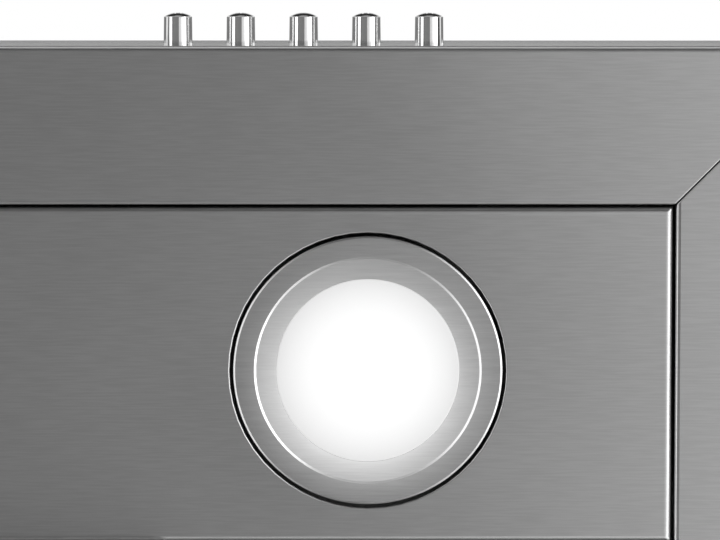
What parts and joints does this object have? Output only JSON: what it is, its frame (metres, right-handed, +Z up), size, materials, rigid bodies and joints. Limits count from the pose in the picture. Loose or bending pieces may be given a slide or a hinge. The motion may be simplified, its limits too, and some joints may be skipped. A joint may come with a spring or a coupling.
{
  "type": "t-shape range hood",
  "caption": "Wall range hood: slim folded canopy with round lamps, tilting baffle filters and push buttons under a telescopic chimney that hides a centrifugal blower.",
  "frame": {"origin": "midway between the two wall screws of the hanging bracket, on the wall", "axes": "+X to the right of someone who stands in front of the hood, +Y into the wall, +Z up; the hood hangs in front of the wall, so the front edge faces -Y"},
  "size_m": [0.76, 0.508, 0.839],
  "materials": {
    "brushed_steel": "satin, grain along each strip",
    "filter_steel": "fine satin",
    "zinc_steel": "zinc plated, dull",
    "button_chrome": "polished",
    "bright_steel": "bright",
    "lamp_metal": "satin",
    "lamp_lens": "opal, lit from inside",
    "wheel_metal": "pressed, dull",
    "motor_paint": "satin",
    "magnet_black": "matt",
    "plastic_dark": "fine matt",
    "plastic_white": "matt",
    "rubber_black": "matt"
  },
  "bodies": {
    "hood": {"canopy_front": "brushed_steel", "canopy_left": "brushed_steel", "canopy_right": "brushed_steel", "canopy_back": "brushed_steel", "canopy_top": "brushed_steel", "lamp_panel": "brushed_steel", "lamp_body_left": "lamp_metal", "lamp_body_right": "lamp_metal", "lamp_lens_left": "lamp_lens", "lamp_lens_right": "lamp_lens", "lamp_driver": "plastic_white", "switch_bracket": "zinc_steel", "switch_block": "plastic_dark", "filter_magnets": "magnet_black", "blower_box": "zinc_steel", "duct_collar": "zinc_steel", "damper_pin": "bright_steel", "outlet_hopper": "zinc_steel", "scroll_wrapper": "zinc_steel", "scroll_plate_left": "zinc_steel", "scroll_plate_right": "zinc_steel", "motor": "motor_paint", "motor_mounts": "rubber_black", "capacitor": "plastic_white", "junction_box": "plastic_dark", "junction_cover": "plastic_dark", "terminal_block": "plastic_dark", "wall_bracket": "zinc_steel", "chimney_lower": "brushed_steel", "chimney_feet": "zinc_steel", "cover_screws": "bright_steel"},
    "filter_left": {"filter_frame_left": "filter_steel", "filter_baffles_lower_left": "filter_steel", "filter_baffles_upper_left": "filter_steel", "filter_handle_left": "bright_steel"},
    "filter_right": {"filter_frame_right": "filter_steel", "filter_baffles_lower_right": "filter_steel", "filter_baffles_upper_right": "filter_steel", "filter_handle_right": "bright_steel"},
    "button_1": {"button_1": "button_chrome"},
    "button_2": {"button_2": "button_chrome"},
    "button_3": {"button_3": "button_chrome"},
    "button_4": {"button_4": "button_chrome"},
    "button_5": {"button_5": "button_chrome"},
    "wheel": {"impeller": "wheel_metal", "motor_shaft": "bright_steel"},
    "damper_front": {"damper_flap_front": "plastic_dark"},
    "damper_back": {"damper_flap_back": "plastic_dark"},
    "upper_chimney": {"chimney_upper": "brushed_steel", "chimney_bracket": "zinc_steel", "bracket_screws": "bright_steel"}
  },
  "joints": [
    {"name": "filter_left_hinge", "type": "hinge", "parent": "hood", "child": "filter_left", "pos_m": [-0.16912, -0.0425, -0.215], "axis": [1, 0, 0], "range_deg": [0, 75]},
    {"name": "filter_right_hinge", "type": "hinge", "parent": "hood", "child": "filter_right", "pos_m": [0.16912, -0.0425, -0.215], "axis": [1, 0, 0], "range_deg": [0, 75]},
    {"name": "button_1_press", "type": "slide", "parent": "hood", "child": "button_1", "axis": [0, 1, 0], "range_m": [0, 0.0035], "stiffness_N_per_m": 500, "springref_m": -0.002},
    {"name": "button_2_press", "type": "slide", "parent": "hood", "child": "button_2", "axis": [0, 1, 0], "range_m": [0, 0.0035], "stiffness_N_per_m": 500, "springref_m": -0.002},
    {"name": "button_3_press", "type": "slide", "parent": "hood", "child": "button_3", "axis": [0, 1, 0], "range_m": [0, 0.0035], "stiffness_N_per_m": 500, "springref_m": -0.002},
    {"name": "button_4_press", "type": "slide", "parent": "hood", "child": "button_4", "axis": [0, 1, 0], "range_m": [0, 0.0035], "stiffness_N_per_m": 500, "springref_m": -0.002},
    {"name": "button_5_press", "type": "slide", "parent": "hood", "child": "button_5", "axis": [0, 1, 0], "range_m": [0, 0.0035], "stiffness_N_per_m": 500, "springref_m": -0.002},
    {"name": "wheel_spin", "type": "hinge", "parent": "hood", "child": "wheel", "pos_m": [0, -0.108, -0.055], "axis": [1, 0, 0], "continuous": true},
    {"name": "damper_front_swing", "type": "hinge", "parent": "hood", "child": "damper_front", "pos_m": [0, -0.128, 0.114], "axis": [-1, 0, 0], "range_deg": [0, 75]},
    {"name": "damper_back_swing", "type": "hinge", "parent": "hood", "child": "damper_back", "pos_m": [0, -0.128, 0.114], "axis": [1, 0, 0], "range_deg": [0, 75]},
    {"name": "chimney_slide", "type": "slide", "parent": "hood", "child": "upper_chimney", "axis": [0, 0, 1], "range_m": [-0.315, 0.05]}
  ]
}
